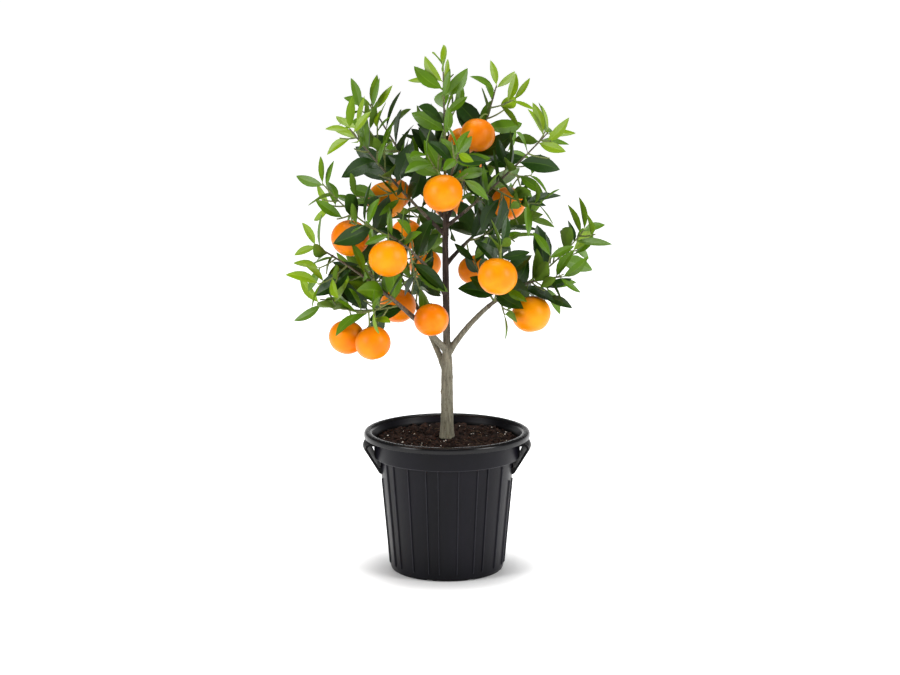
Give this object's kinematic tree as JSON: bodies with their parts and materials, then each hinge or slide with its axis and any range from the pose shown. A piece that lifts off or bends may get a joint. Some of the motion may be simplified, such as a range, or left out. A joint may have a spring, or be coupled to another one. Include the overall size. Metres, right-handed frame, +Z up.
{
  "type": "potted calamondin orange tree",
  "caption": "Small potted citrus tree: a slim trunk and an open rounded crown of pointed green leaves and round orange fruit, in a round black plastic nursery pot with side grips.",
  "frame": {"origin": "centre of the pot's flat underside, on the floor it stands on", "axes": "+Z up along the trunk, +X towards one grip of the pot, -Y towards the front of the crown"},
  "size_m": [0.4152, 0.3344, 0.6962],
  "materials": {
    "pot": "satin black moulded plastic",
    "handle": "satin black moulded plastic",
    "soil": "moist bark and peat potting mix",
    "trunk": "grey-brown fissured bark",
    "bough": "smooth dark brown bark",
    "foliage": "glossy green leaves with orange fruit"
  },
  "bodies": {
    "root": {"pot": "pot", "soil": "soil", "handle_left": "handle", "handle_right": "handle", "trunk": "trunk", "bough_left_back": "bough", "bough_left": "bough", "bough_right": "bough", "bough_mid_left": "bough", "bough_mid_right": "bough", "bough_upper_left": "bough", "bough_upper_left_back": "bough", "bough_upper_right": "bough", "bough_upper_right_back": "bough", "bough_back": "bough", "bough_back_top": "bough", "bough_front": "bough", "foliage_left_back": "foliage", "foliage_left": "foliage", "foliage_right": "foliage", "foliage_mid_left": "foliage", "foliage_mid_right": "foliage", "foliage_upper_left": "foliage", "foliage_upper_left_back": "foliage", "foliage_upper_right": "foliage", "foliage_upper_right_back": "foliage", "foliage_back": "foliage", "foliage_back_top": "foliage", "foliage_front": "foliage", "foliage_leader": "foliage"}
  },
  "joints": []
}
